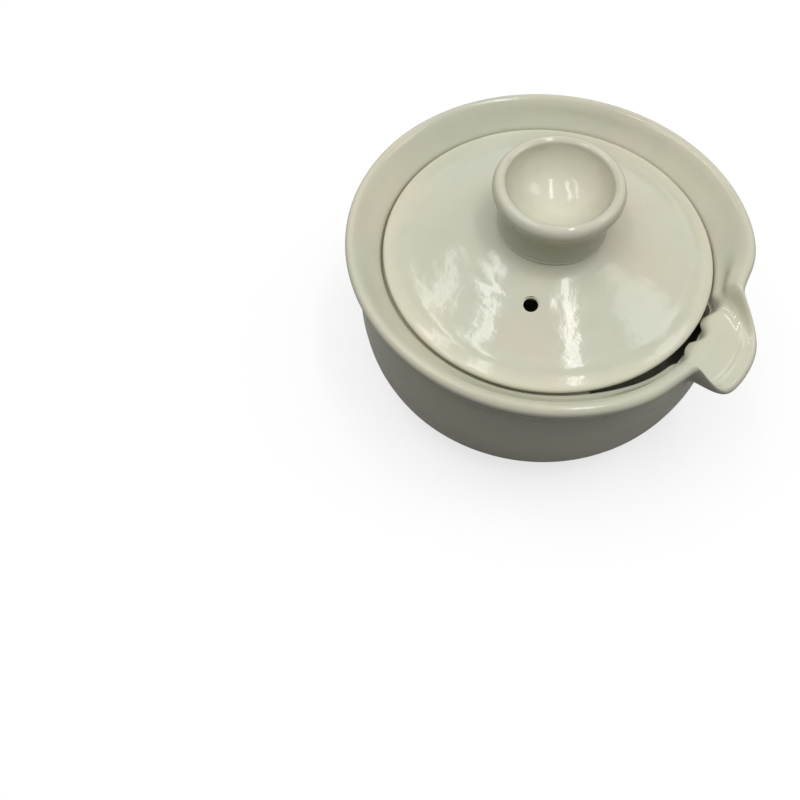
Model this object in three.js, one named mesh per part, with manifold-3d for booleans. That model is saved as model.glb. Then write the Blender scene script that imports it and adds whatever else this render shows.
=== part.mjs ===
// A shiboridashi: a small Japanese teapot with no handle, thrown in pale stoneware. Tea is poured over
// a lip pulled out of the rim, past three grooves that hold the leaves back. The lid lies loose on a
// ledge inside the bowl, and a cup-shaped knob is luted on top of it.
// Sizes are in millimetres. +Z is up and the pouring lip points along +X. The origin is on the table,
// under the middle of the plan, which the lip makes a little longer than the bowl.
import * as THREE from 'three';
import { mergeVertices } from 'three/addons/utils/BufferGeometryUtils.js';
import Module from 'manifold-3d';

const wasm = await Module();
wasm.setup();

// Bowl
const RIM_RADIUS = 48.2; // outermost edge of the rolled lip
const RIM_NARROWING = 0.02; // the thrown rim is not quite round: this share narrower one way
const RIM_NARROWING_ANGLE = 114; // degrees from the pouring lip
const LIP_OVERHANG = 2.6; // how far the lip stands out over the belly
const BODY_HEIGHT = 43; // table to the crest of the lip
const CREST_INSET = 1.7; // from the outermost edge in to the crest
const LIP_ROLL = 1.4; // from the crest down to the outermost edge
const LIP_UNDERCUT = 5; // from the outermost edge down to where the lip meets the belly
const WALL = 4.4; // belly wall
const BELLY_SQUARENESS = 4.6; // 2 is an ellipse, more gives a tighter turn into the foot
const FLOOR_THICKNESS = 4.5;
const INSIDE_SQUARENESS = 3.6;

// Foot, turned from the base after throwing
const FOOT_RADIUS = 25;
const FOOT_HEIGHT = 3;
const FOOT_WIDTH = 4.6;
const FOOT_CHAMFER = 0.6;
const RECESS_DEPTH = 2.2;

// Ledge that carries the lid
const SEAT_DEPTH = 8; // from the crest of the lip down to the seat
const SEAT_WALL = 5.9; // belly wall at the height of the seat
const SEAT_WIDTH = 4;
const LEDGE_THICKNESS = 2.6;
const LEDGE_UNDERSIDE = 4.2; // height of the slope under the ledge
const LEDGE_ROUNDING = 0.5;
const SEAT_EASE = 1.1; // the wall round the seat is eased out this far beside the near pinch
const SEAT_EASE_ANGLE = -20; // degrees from the pouring lip to the middle of that stretch
const SEAT_EASE_WIDTH = 16; // degrees from there to where it has nearly died out

// Pouring lip, pulled out and down between two pinches
const SPOUT_PULL = 6.1;
const SPOUT_LEAN = 0.8; // how much more it is pulled at its -Y side, and less at its +Y side
const SPOUT_BOW = 1.4; // how much less the nose is pulled at its corners than in its middle
const SPOUT_DROP = 6.4;
const SPOUT_HALF_WIDTH = 9.1;
const SPOUT_SHAPE = 8; // 2 is a soft bell, more gives a squarer corner; this one is for the -Y side
const SPOUT_FAR_SHAPE = 4; // and this for the +Y side
const SPOUT_FILL = 2.4; // clay smoothed into the channel behind the nose
const SPOUT_FLARE = 0.3; // how much the nose spreads, as a share of its width
const SPOUT_ROOT = 4; // how far below the seat the pull begins outside
const PINCH_DEPTH = 1.4; // of the pinch on the -Y side
const PINCH_FAR_DEPTH = 2.6; // and of the one on the +Y side
const PINCH_OFFSET = 13; // from the middle of the lip to the deepest point of each pinch
const PINCH_INNER_WIDTH = 4.5;
const PINCH_OUTER_WIDTH = 9;

// Grooves that strain the tea
const GROOVE_COUNT = 3;
const GROOVE_RADIUS = 2.3;
const GROOVE_ANGLE = 11.5; // degrees between neighbours, round the bowl's axis
const GROOVE_SHIFT = 2; // degrees by which the row sits off the middle of the pouring lip
const GROOVE_TILT = 78; // degrees by which each runs down inwards
const GROOVE_LIFT = 3.3; // of its axis over the seat's outer corner
const GROOVE_REACH = 0; // from there to the middle of its round outer end
const GROOVE_LENGTH = 12;

// Stretch beside the near pinch where the ledge is cut away, so that tea also runs out past the lid's edge
const LEDGE_GAP_START = -42; // degrees from the pouring lip; it ends in the farthest groove

// Lid
const LID_CLEARANCE = 0.3; // round the lid's edge
const SEAT_GAP = 0.2; // glaze between the lid and its seat
const LID_EDGE_HEIGHT = 2.9;
const LID_EDGE_ROUNDING = 1;
const LID_SHOULDER = 60; // degrees from level at which the edge's rounding runs into the dome
const LID_UNDERCUT = 1.7; // how far the edge is trimmed back underneath
const LID_RISE = 9.2; // from the top of the edge to the knob's landing
const LID_DOME = 1.2; // 1 is a plain cone, more gives a rounder shoulder
const LID_THICKNESS = 4;
const LID_REST_WIDTH = 3; // flat ring under the edge
const VENT_RADIUS = 1.6;
const VENT_OFFSET = 22.1; // from the lid's axis
const VENT_ANGLE = -68; // degrees from the pouring lip
const VENT_TILT = 12; // degrees from upright, so that it runs square through the dome

// Knob
const KNOB_RADIUS = 14.6;
const KNOB_NECK_RADIUS = 12;
const KNOB_BASE_RADIUS = 12.5;
const KNOB_HEIGHT = 13.2;
const KNOB_LIP_WIDTH = 1.7; // from the outermost edge in to the crest of its lip
const KNOB_LIP_DROP = 2.7; // from the crest down to the outermost edge
const KNOB_NECK_HEIGHT = 4.6;
const HOLLOW_RADIUS = 11.9;
const HOLLOW_DEPTH = 8.5;
const LANDING_MARGIN = 0.7; // flat left round the knob's base

// Where the pieces meet
const AXIS_X = -SPOUT_PULL / 2; // the bowl's axis, so that the plan's middle is at the origin
const BELLY_RADIUS = RIM_RADIUS - LIP_OVERHANG;
const SEAT_RADIUS = BELLY_RADIUS - SEAT_WALL;
const SEAT_Z = BODY_HEIGHT - SEAT_DEPTH;
const FLOOR_Z = FOOT_HEIGHT + FLOOR_THICKNESS;
const LID_RADIUS = SEAT_RADIUS - LID_CLEARANCE;
const LID_Z = SEAT_Z + SEAT_GAP;
const LANDING_RADIUS = KNOB_BASE_RADIUS + LANDING_MARGIN;
const LID_TOP_Z = LID_Z + LID_EDGE_HEIGHT; // top of the lid's edge
const LANDING_Z = LID_TOP_Z + LID_RISE;

const UP = new THREE.Vector3(0, 0, 1);
const radians = THREE.MathUtils.degToRad;
const point = (radius, z) => new THREE.Vector2(radius, z);

// Points of a quarter superellipse, from its side to its bottom.
function superQuarter(centreRadius, topZ, width, drop, squareness, steps) {
  const points = [];
  for (let i = 0; i <= steps; i++) {
    const turn = (i / steps) * (Math.PI / 2);
    const across = Math.abs(Math.cos(turn)) ** (2 / squareness);
    const down = Math.sin(turn) ** (2 / squareness);
    points.push(point(centreRadius + width * (i === steps ? 0 : across), topZ - drop * down));
  }
  return points;
}

// Points of an arc in the profile plane. Angles are in degrees, 0 outwards and 90 up.
function arc(centreRadius, centreZ, radius, from, to, steps) {
  const points = [];
  for (let i = 0; i <= steps; i++) {
    const turn = radians(from + ((to - from) * i) / steps);
    points.push(point(centreRadius + radius * Math.cos(turn), centreZ + radius * Math.sin(turn)));
  }
  return points;
}

// A turned solid from a profile that starts on the axis underneath and ends on the axis on top.
function turned(profile, segments) {
  const geometry = new THREE.LatheGeometry(profile, segments);
  geometry.rotateX(Math.PI / 2);
  return geometry;
}

function solidOf(geometry) {
  const bare = geometry.clone();
  bare.deleteAttribute('normal');
  bare.deleteAttribute('uv');
  const merged = mergeVertices(bare, 1e-3);
  return new wasm.Manifold(new wasm.Mesh({
    numProp: 3,
    vertProperties: merged.attributes.position.array,
    triVerts: new Uint32Array(merged.index.array),
  }));
}

function geometryOf(solid) {
  const mesh = solid.getMesh();
  const geometry = new THREE.BufferGeometry();
  geometry.setAttribute('position', new THREE.BufferAttribute(mesh.vertProperties, 3));
  geometry.setIndex(new THREE.BufferAttribute(mesh.triVerts, 1));
  geometry.computeVertexNormals();
  return geometry;
}

// Bowl: foot, belly and rolled lip outside, then down the flare to the seat, the ledge and the floor inside.
function bowlProfile() {
  const bellyTop = SEAT_Z - LEDGE_THICKNESS;
  const lipZ = BODY_HEIGHT - LIP_ROLL;
  const outside = superQuarter(FOOT_RADIUS, bellyTop, BELLY_RADIUS - FOOT_RADIUS, bellyTop - FOOT_HEIGHT,
    BELLY_SQUARENESS, 8);
  const lip = new THREE.SplineCurve([
    point(BELLY_RADIUS, lipZ - LIP_UNDERCUT),
    point(BELLY_RADIUS + LIP_OVERHANG * 0.4, lipZ - LIP_UNDERCUT * 0.55),
    point(RIM_RADIUS, lipZ),
    point(RIM_RADIUS - CREST_INSET, BODY_HEIGHT),
    point((SEAT_RADIUS + RIM_RADIUS - CREST_INSET) / 2, SEAT_Z + SEAT_DEPTH * 0.64),
    point(SEAT_RADIUS + 0.2, SEAT_Z + SEAT_DEPTH * 0.25),
  ]).getPoints(15);
  const ledgeRadius = SEAT_RADIUS - SEAT_WIDTH;
  const ledgeBottom = SEAT_Z - LEDGE_THICKNESS;
  const insideTop = ledgeBottom - LEDGE_UNDERSIDE;
  const inside = superQuarter(0, insideTop, BELLY_RADIUS - WALL, insideTop - FLOOR_Z, INSIDE_SQUARENESS, 8);
  return [
    point(0, RECESS_DEPTH),
    point(FOOT_RADIUS - FOOT_WIDTH - FOOT_CHAMFER, RECESS_DEPTH),
    point(FOOT_RADIUS - FOOT_WIDTH, RECESS_DEPTH - FOOT_CHAMFER),
    point(FOOT_RADIUS - FOOT_WIDTH + FOOT_CHAMFER, 0),
    point(FOOT_RADIUS - FOOT_CHAMFER, 0),
    point(FOOT_RADIUS, FOOT_CHAMFER),
    ...outside.reverse(),
    ...lip,
    point(SEAT_RADIUS, SEAT_Z),
    ...arc(ledgeRadius + LEDGE_ROUNDING, SEAT_Z - LEDGE_ROUNDING, LEDGE_ROUNDING, 90, 180, 2),
    point(ledgeRadius, ledgeBottom + LEDGE_ROUNDING),
    point(ledgeRadius + LEDGE_ROUNDING, ledgeBottom),
    ...inside,
  ];
}

// The potter's fingers: two pinches draw the wall in, and the stretch between them is drawn out, down
// and wider. Both take hold more and more up to the lip. Inside, the pinches leave the wall round the
// lid's edge as it is.
function pullSpout(position, isInside) {
  if (position.x <= 0) return;
  const full = BODY_HEIGHT - LIP_ROLL;
  const root = isInside ? SEAT_Z : SEAT_Z - SPOUT_ROOT;
  const grip = THREE.MathUtils.smoothstep(position.z, root, full);
  const squeeze = isInside ? THREE.MathUtils.smoothstep(position.z, LID_TOP_Z, full) : grip;
  const off = Math.abs(position.y);
  const shape = position.y > 0 ? SPOUT_FAR_SHAPE : SPOUT_SHAPE;
  const pull = Math.exp(-((off / SPOUT_HALF_WIDTH) ** shape));
  const pinchWidth = off < PINCH_OFFSET ? PINCH_INNER_WIDTH : PINCH_OUTER_WIDTH;
  const pinch = Math.exp(-(((off - PINCH_OFFSET) / pinchWidth) ** 2));
  const share = position.y / SPOUT_HALF_WIDTH;
  const reach = SPOUT_PULL - SPOUT_LEAN * share - SPOUT_BOW * share ** 2;
  const depth = position.y > 0 ? PINCH_FAR_DEPTH : PINCH_DEPTH;
  position.x += grip * reach * pull - squeeze * depth * pinch;
  position.y *= 1 + grip * SPOUT_FLARE * Math.sqrt(pull);
  const fill = THREE.MathUtils.smoothstep(position.z, SEAT_Z + 0.6, SEAT_Z + 3.6)
    - THREE.MathUtils.smoothstep(position.z, full - 1.4, BODY_HEIGHT);
  position.z -= grip * SPOUT_DROP * pull - (isInside ? SPOUT_FILL * fill * pull : 0);
}

// Eases the wall round the seat outwards over a stretch beside the near pinch.
function easeSeat(position) {
  const radius = Math.hypot(position.x, position.y);
  const turn = THREE.MathUtils.radToDeg(Math.atan2(position.y, position.x)) - SEAT_EASE_ANGLE;
  const height = THREE.MathUtils.smoothstep(position.z, SEAT_Z - LEDGE_THICKNESS, SEAT_Z)
    - THREE.MathUtils.smoothstep(position.z, LID_TOP_Z, BODY_HEIGHT);
  const across = THREE.MathUtils.smoothstep(radius, SEAT_RADIUS - SEAT_WIDTH + 1, SEAT_RADIUS);
  const fade = Math.exp(-((turn / SEAT_EASE_WIDTH) ** 2));
  const share = (SEAT_EASE * height * across * fade) / Math.max(radius, 1);
  position.x *= 1 + share;
  position.y *= 1 + share;
}

// Draws the rim in a little one way, from the height of the lid's edge up.
function narrowRim(position) {
  const way = new THREE.Vector3(1, 0, 0).applyAxisAngle(UP, radians(RIM_NARROWING_ANGLE));
  const share = RIM_NARROWING * THREE.MathUtils.smoothstep(position.z, LID_TOP_Z, BODY_HEIGHT);
  position.addScaledVector(way, -share * position.dot(way));
}

// Moves the lathe's columns round the axis so that they lie close together at the pouring lip.
function crowd(position) {
  const radius = Math.hypot(position.x, position.y);
  const angle = Math.atan2(position.y, position.x);
  const crowded = angle - 0.8 * Math.sin(angle);
  position.x = radius * Math.cos(crowded);
  position.y = radius * Math.sin(crowded);
}

function grooveCutter(angle) {
  const cutter = new THREE.CapsuleGeometry(GROOVE_RADIUS, GROOVE_LENGTH, 4, 16);
  cutter.rotateZ(-Math.PI / 2);
  cutter.translate(GROOVE_REACH - GROOVE_LENGTH / 2, 0, 0);
  cutter.rotateY(radians(-GROOVE_TILT));
  cutter.translate(SEAT_RADIUS, 0, SEAT_Z + GROOVE_LIFT);
  cutter.rotateZ(radians(angle));
  return solidOf(cutter);
}

function ledgeCutter() {
  const start = radians(LEDGE_GAP_START);
  const end = radians(GROOVE_SHIFT + ((GROOVE_COUNT - 1) / 2) * GROOVE_ANGLE);
  const sector = new THREE.Shape();
  sector.absarc(0, 0, SEAT_RADIUS + SEAT_EASE, start, end, false);
  sector.absarc(0, 0, SEAT_RADIUS - SEAT_WIDTH - 1, end, start, true);
  const depth = LEDGE_THICKNESS + LEDGE_UNDERSIDE;
  const cutter = new THREE.ExtrudeGeometry(sector, { depth, bevelEnabled: false, curveSegments: 24 });
  cutter.translate(0, 0, SEAT_Z + 0.3 - depth);
  return solidOf(cutter);
}

function makeBowl() {
  const profile = bowlProfile();
  const segments = 96;
  const geometry = turned(profile, segments);
  const positions = geometry.attributes.position;
  const heights = profile.map((p) => p.y);
  const crest = heights.indexOf(Math.max(...heights));
  const vertex = new THREE.Vector3();
  for (let i = 0; i < positions.count; i++) {
    vertex.fromBufferAttribute(positions, i);
    crowd(vertex);
    narrowRim(vertex);
    const isInside = i % profile.length >= crest;
    if (isInside) easeSeat(vertex);
    pullSpout(vertex, isInside);
    positions.setXYZ(i, vertex.x, vertex.y, vertex.z);
  }
  let bowl = solidOf(geometry).subtract(ledgeCutter());
  for (let i = 0; i < GROOVE_COUNT; i++) {
    bowl = bowl.subtract(grooveCutter(GROOVE_SHIFT + (i - (GROOVE_COUNT - 1) / 2) * GROOVE_ANGLE));
  }
  return geometryOf(bowl);
}

// Lid: a thin dome with a flat landing for the knob. Its edge is rounded on top and trimmed back
// underneath, and a flat ring inside that lies on the seat.
function makeLid() {
  const edge = arc(LID_RADIUS - LID_EDGE_ROUNDING, LID_TOP_Z - LID_EDGE_ROUNDING, LID_EDGE_ROUNDING, -45,
    LID_SHOULDER, 3);
  const shoulder = edge[edge.length - 1];
  const rise = LANDING_Z - shoulder.y;
  const domeTop = (radius) => {
    const share = THREE.MathUtils.clamp((radius - LANDING_RADIUS) / (shoulder.x - LANDING_RADIUS), 0, 1);
    return LANDING_Z - rise * share ** LID_DOME;
  };
  const restInside = LID_RADIUS - LID_UNDERCUT - LID_REST_WIDTH;
  const underside = [];
  const top = [];
  const steps = 7;
  for (let i = 0; i <= steps; i++) {
    const under = THREE.MathUtils.lerp(LANDING_RADIUS - LID_THICKNESS, restInside - 0.6, i / steps);
    underside.push(point(under, domeTop(under) - LID_THICKNESS));
    const over = THREE.MathUtils.lerp(shoulder.x, LANDING_RADIUS, i / steps);
    top.push(point(over, domeTop(over)));
  }
  const profile = [
    point(0, LANDING_Z - LID_THICKNESS),
    ...underside,
    point(restInside, LID_Z),
    point(LID_RADIUS - LID_UNDERCUT, LID_Z),
    ...edge,
    ...top.slice(1),
    point(0, LANDING_Z),
  ];
  const vent = new THREE.CylinderGeometry(VENT_RADIUS, VENT_RADIUS, 4 * LID_THICKNESS, 20);
  vent.rotateX(Math.PI / 2);
  vent.rotateY(radians(VENT_TILT));
  vent.translate(VENT_OFFSET, 0, domeTop(VENT_OFFSET));
  vent.rotateZ(radians(VENT_ANGLE));
  return geometryOf(solidOf(turned(profile, 60)).subtract(solidOf(vent)));
}

// Knob: a small cup with a rolled lip, luted to the landing by its flat base.
function makeKnob() {
  const crestZ = LANDING_Z + KNOB_HEIGHT;
  const ball = (HOLLOW_RADIUS ** 2 + HOLLOW_DEPTH ** 2) / (2 * HOLLOW_DEPTH);
  const hollowEdge = THREE.MathUtils.radToDeg(Math.atan2(HOLLOW_DEPTH - ball, HOLLOW_RADIUS));
  const hollowTop = crestZ - KNOB_LIP_WIDTH / 3;
  const outside = new THREE.SplineCurve([
    point(KNOB_BASE_RADIUS, LANDING_Z + 0.6),
    point(KNOB_NECK_RADIUS, LANDING_Z + KNOB_NECK_HEIGHT),
    point((KNOB_NECK_RADIUS + KNOB_RADIUS) / 2, crestZ - KNOB_LIP_DROP * 2),
    point(KNOB_RADIUS, crestZ - KNOB_LIP_DROP),
    point(KNOB_RADIUS - KNOB_LIP_WIDTH, crestZ),
  ]).getPoints(12);
  const hollow = arc(0, hollowTop - HOLLOW_DEPTH + ball, ball, hollowEdge, -90, 7);
  hollow[hollow.length - 1].x = 0;
  const profile = [
    point(0, LANDING_Z),
    point(KNOB_BASE_RADIUS - 0.5, LANDING_Z),
    ...outside,
    ...hollow,
  ];
  return turned(profile, 48);
}

const glaze = new THREE.MeshStandardMaterial({ color: 0xd6d4c4, roughness: 0.16, metalness: 0 });
const pieces = [
  ['bowl', makeBowl()],
  ['lid', makeLid()],
  ['lid_knob', makeKnob()],
];

const shiboridashi = new THREE.Group();
shiboridashi.position.x = AXIS_X;
for (const [name, geometry] of pieces) {
  const mesh = new THREE.Mesh(geometry, glaze.clone());
  mesh.name = name;
  shiboridashi.add(mesh);
}

export default shiboridashi;
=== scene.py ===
import math

import bpy
import numpy as np
from mathutils import Matrix, Vector


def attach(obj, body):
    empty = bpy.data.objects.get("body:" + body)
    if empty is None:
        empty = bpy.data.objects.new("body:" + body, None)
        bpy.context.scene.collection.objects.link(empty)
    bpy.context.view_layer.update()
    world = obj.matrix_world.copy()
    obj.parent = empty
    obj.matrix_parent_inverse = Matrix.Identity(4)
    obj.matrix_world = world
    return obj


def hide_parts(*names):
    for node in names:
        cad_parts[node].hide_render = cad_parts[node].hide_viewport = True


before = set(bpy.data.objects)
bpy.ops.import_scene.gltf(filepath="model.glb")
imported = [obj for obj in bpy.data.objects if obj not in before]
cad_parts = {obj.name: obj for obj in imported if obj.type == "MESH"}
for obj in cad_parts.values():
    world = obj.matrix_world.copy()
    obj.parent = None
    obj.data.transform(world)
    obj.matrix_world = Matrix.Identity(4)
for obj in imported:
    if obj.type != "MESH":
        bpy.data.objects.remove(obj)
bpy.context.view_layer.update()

# Bowl
# The bowl is one piece of fine pale stoneware, thrown on the wheel and trimmed underneath. Its rim is
# rolled outwards, a ledge inside carries the lid, and a lip is pulled out of the rim between two pinches.
# Three grooves strain the tea at the ledge. Lengths are in millimetres and angles in degrees.
MM = 0.001
RIM_RADIUS = 48.2  # to the outermost edge of the rolled rim
RIM_NARROWING = 0.02  # the thrown rim isn't quite round: this share narrower one way
RIM_NARROWING_ANGLE = 114  # from the pouring lip
RIM_OVERHANG = 2.6  # over the belly
BOWL_HEIGHT = 43.0  # from the table to the crest of the rim
CREST_INSET = 1.7  # from the outermost edge in to the crest
RIM_ROLL = 1.4  # from the crest down to the outermost edge
RIM_UNDERCUT = 5.0  # from the outermost edge down to where the rim meets the belly
UNDERCUT_OUT = 0.4  # the hollow under the rim passes through this share of the overhang
UNDERCUT_DOWN = 0.55  # at this share of the undercut
BELLY_STRAIGHT = 2.0  # straight stretch of the belly below the undercut
FLARE_MIDDLE = 0.64  # height of the inside flare's middle over the seat, as a share of the seat's depth
FLARE_END = 0.25  # and of its lower end
FLARE_END_OUT = 0.2  # which stands this far outside the seat's corner
BOWL_WALL = 4.4
BELLY_SQUARENESS = 4.6  # 2 is an ellipse, more gives a tighter turn into the foot
FLOOR_THICKNESS = 4.5
INSIDE_SQUARENESS = 3.6
FOOT_RADIUS = 25.0
FOOT_HEIGHT = 3.0
FOOT_WIDTH = 4.6
FOOT_CHAMFER = 0.6
RECESS_DEPTH = 2.2
SEAT_DEPTH = 8.0  # from the crest of the rim down to the seat
SEAT_WALL = 5.9  # belly wall at the height of the seat
SEAT_WIDTH = 4.0
LEDGE_THICKNESS = 2.6
LEDGE_UNDERSIDE = 4.2  # height of the slope under the ledge
LEDGE_ROUNDING = 0.5
SEAT_EASE = 1.1  # the wall round the seat is eased out this far beside the near pinch
SEAT_EASE_ANGLE = -20  # from the pouring lip to the middle of that stretch
SEAT_EASE_WIDTH = 16  # from there to where it has nearly died out
SEAT_EASE_INSET = 1.0  # from the ledge's inner edge to where the easing begins
LIP_PULL = 6.1
LIP_LEAN = 0.8  # how much more the lip is pulled at its near side, and less at its far side
LIP_BOW = 1.4  # how much less it is pulled at its corners than in its middle
LIP_DROP = 6.4
LIP_HALF_WIDTH = 9.1
LIP_NEAR_SHAPE = 8  # 2 is a soft bell, more gives a squarer corner
LIP_FAR_SHAPE = 4
LIP_FLARE = 0.3  # how much the nose spreads, as a share of its width
LIP_ROOT = 4.0  # how far below the seat the pull begins outside
LIP_FILL = 2.4  # clay smoothed into the channel behind the nose
LIP_FILL_GROWS = (0.6, 3.6)  # heights over the seat between which it grows
LIP_FILL_FADES = 1.4  # it dies out from this far below the rim's outermost edge up to the crest
PINCH_NEAR_DEPTH = 1.4
PINCH_FAR_DEPTH = 2.6
PINCH_OFFSET = 13.0  # from the middle of the lip to the deepest point of each pinch
PINCH_INNER_WIDTH = 4.5
PINCH_OUTER_WIDTH = 9.0
SEAT_GAP = 0.2  # glaze between the lid and its seat
LID_EDGE_HEIGHT = 2.9
AXIS_X = -LIP_PULL / 2  # the bowl's axis, so that the middle of the plan is at the origin
BELLY_RADIUS = RIM_RADIUS - RIM_OVERHANG
SEAT_Z = BOWL_HEIGHT - SEAT_DEPTH
SEAT_RADIUS = BELLY_RADIUS - SEAT_WALL
RIM_Z = BOWL_HEIGHT - RIM_ROLL
LID_Z = SEAT_Z + SEAT_GAP
LID_TOP_Z = LID_Z + LID_EDGE_HEIGHT


def quarter(centre, top, width, drop, squareness, steps=160):
    """A squarish quarter ellipse, from its widest point down to its lowest."""
    turn = np.linspace(0, math.pi / 2, steps + 1)
    across = centre + width * np.clip(np.cos(turn), 0, 1) ** (2 / squareness)
    across[-1] = centre
    return np.column_stack([across, top - drop * np.sin(turn) ** (2 / squareness)])


def ribbed_line(points, steps=24):
    """A smooth line through a few points, as a throwing rib leaves it."""
    points = np.array(points, float)
    ends = np.vstack([points[:1], points, points[-1:]])
    share = np.linspace(0, 1, steps + 1)[:, None]
    line = []
    for a, b, c, d in zip(ends, ends[1:], ends[2:], ends[3:]):
        start, end = (c - a) / 2, (d - b) / 2
        line.append((2 * b - 2 * c + start + end) * share ** 3
                    + (3 * c - 3 * b - 2 * start - end) * share ** 2 + start * share + b)
    return np.vstack(line)


def arc(centre, radius, start, end, steps=8):
    """Part of a circle in the profile, between two angles: 0 is outwards and 90 is up."""
    turn = np.radians(np.linspace(start, end, steps + 1))
    return np.column_stack([centre[0] + radius * np.cos(turn), centre[1] + radius * np.sin(turn)])


def glazed_line(parts, softness, spacing):
    """Joins the parts of a profile, which ends on the axis, and rounds its corners as melted glaze does.
    Its points then stand as far apart as spacing(radius, height) says."""
    line = np.vstack(parts)
    apart = np.r_[True, np.hypot(*np.diff(line, axis=0).T) > 1e-6]
    line = line[apart]
    along = np.r_[0, np.cumsum(np.hypot(*np.diff(line, axis=0).T))]
    step = 0.05
    even = np.arange(0, along[-1], step)
    line = np.column_stack([np.interp(even, along, line[:, i]) for i in (0, 1)])
    line = np.vstack([line, [0, parts[-1][-1][1]]])
    # A mean weighted by a bell curve, with the line mirrored past the axis so that both its ends stay there
    reach = int(4 * softness / step)
    weight = np.exp(-0.5 * (np.arange(-reach, reach + 1) * step / softness) ** 2)
    weight /= weight.sum()
    mirror = np.array([-1.0, 1.0])
    padded = np.vstack([line[reach:0:-1] * mirror, line, line[-2:-reach - 2:-1] * mirror])
    line = np.column_stack([np.convolve(padded[:, i], weight, mode="valid") for i in (0, 1)])
    line[[0, -1], 0] = 0
    rows = np.r_[0, np.cumsum(np.hypot(*np.diff(line, axis=0).T) / spacing(line[1:, 0], line[1:, 1]))]
    even = np.linspace(0, rows[-1], int(rows[-1]) + 1)
    return np.column_stack([np.interp(even, rows, line[:, i]) for i in (0, 1)])


def bowl_spacing(radius, z):
    """Rows of the bowl lie closest from the ledge up, wider on the foot, and widest on the plain wall."""
    on_rim = z > 31
    on_foot = (z < 3.4) & (radius > 19)
    on_turn = (z < 6) & (radius > FOOT_RADIUS)
    return np.select([on_rim, on_foot, on_turn], [0.38, 0.55, 0.9], 1.5)


belly_top = SEAT_Z - LEDGE_THICKNESS
inside_top = belly_top - LEDGE_UNDERSIDE
floor_z = FOOT_HEIGHT + FLOOR_THICKNESS
foot_inside = FOOT_RADIUS - FOOT_WIDTH
ledge_radius = SEAT_RADIUS - SEAT_WIDTH
crest_radius = RIM_RADIUS - CREST_INSET
bowl_line = glazed_line([
    np.array([[0, RECESS_DEPTH], [foot_inside - FOOT_CHAMFER, RECESS_DEPTH],
              [foot_inside, RECESS_DEPTH - FOOT_CHAMFER], [foot_inside + FOOT_CHAMFER, 0],
              [FOOT_RADIUS - FOOT_CHAMFER, 0], [FOOT_RADIUS, FOOT_CHAMFER]]),
    quarter(FOOT_RADIUS, belly_top, BELLY_RADIUS - FOOT_RADIUS, belly_top - FOOT_HEIGHT,
            BELLY_SQUARENESS)[::-1],
    ribbed_line([(BELLY_RADIUS, RIM_Z - RIM_UNDERCUT - BELLY_STRAIGHT),
                 (BELLY_RADIUS, RIM_Z - RIM_UNDERCUT),
                 (BELLY_RADIUS + RIM_OVERHANG * UNDERCUT_OUT, RIM_Z - RIM_UNDERCUT * UNDERCUT_DOWN),
                 (RIM_RADIUS, RIM_Z), (crest_radius, BOWL_HEIGHT),
                 ((SEAT_RADIUS + crest_radius) / 2, SEAT_Z + SEAT_DEPTH * FLARE_MIDDLE),
                 (SEAT_RADIUS + FLARE_END_OUT, SEAT_Z + SEAT_DEPTH * FLARE_END)]),
    np.array([[SEAT_RADIUS, SEAT_Z]]),
    arc((ledge_radius + LEDGE_ROUNDING, SEAT_Z - LEDGE_ROUNDING), LEDGE_ROUNDING, 90, 180),
    np.array([[ledge_radius, belly_top + LEDGE_ROUNDING], [ledge_radius + LEDGE_ROUNDING, belly_top]]),
    quarter(0, inside_top, BELLY_RADIUS - BOWL_WALL, inside_top - floor_z, INSIDE_SQUARENESS),
], 0.35, bowl_spacing)


def add(tree, kind, values=(), **settings):
    """Adds one node and returns its outputs. A value that is another node's output is linked, and any
    other is set."""
    node = tree.nodes.new(kind)
    for name, setting in settings.items():
        setattr(node, name, setting)
    for name, value in dict(values).items():
        if isinstance(value, bpy.types.NodeSocket):
            tree.links.new(value, node.inputs[name])
        else:
            node.inputs[name].default_value = value
    return node.outputs


# The wheel: it turns a profile round the pot's axis, with the soft rings that the fingers leave and the
# slight waver of a hand-held wall. Its columns can stand closer where the lip will be pulled, at angle 0.
RING_WANDER = 0.45  # more makes a ring change more on its way round
WAVER_WANDER = 0.8  # and so for the waver
WAVER_REACH = 40.0  # radius at which the waver has its set depth, and height over which it changes
wheel = bpy.data.node_groups.new("Wheel", "GeometryNodeTree")
for socket_name, socket_kind in (
        ("Profile", "Geometry"), ("Columns", "Int"), ("Column Spread", "Float"), ("Ring Depth", "Float"),
        ("Ring Pitch", "Float"), ("Waver", "Float"), ("Seed", "Float"), ("Clay", "Material")):
    wheel.interface.new_socket(socket_name, in_out="INPUT", socket_type="NodeSocket" + socket_kind)
wheel.interface.new_socket("Pot", in_out="OUTPUT", socket_type="NodeSocketGeometry")
given = add(wheel, "NodeGroupInput")
rows = add(wheel, "GeometryNodeAttributeDomainSize", {"Geometry": given["Profile"]})["Point Count"]
columns = add(wheel, "ShaderNodeMath", {0: given["Columns"], 1: 1.0}, operation="ADD")[0]
pot = add(wheel, "GeometryNodeMeshGrid", {"Vertices X": columns, "Vertices Y": rows})["Mesh"]
number = add(wheel, "GeometryNodeInputIndex")[0]
row = add(wheel, "ShaderNodeMath", {0: number, 1: rows}, operation="MODULO")[0]
column = add(wheel, "ShaderNodeMath", {0: number, 1: rows}, operation="DIVIDE")[0]
column = add(wheel, "ShaderNodeMath", {0: column}, operation="FLOOR")[0]
profile = {}
for label, kind in (("position", "FLOAT_VECTOR"), ("outward", "FLOAT_VECTOR"), ("run", "FLOAT"),
                    ("marks", "FLOAT"), ("inside", "FLOAT"), ("bare", "FLOAT")):
    value = add(wheel, "GeometryNodeInputNamedAttribute", {"Name": label}, data_type=kind)[0]
    profile[label] = add(wheel, "GeometryNodeSampleIndex",
                         {"Geometry": given["Profile"], "Value": value, "Index": row},
                         data_type=kind, domain="POINT")[0]
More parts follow.
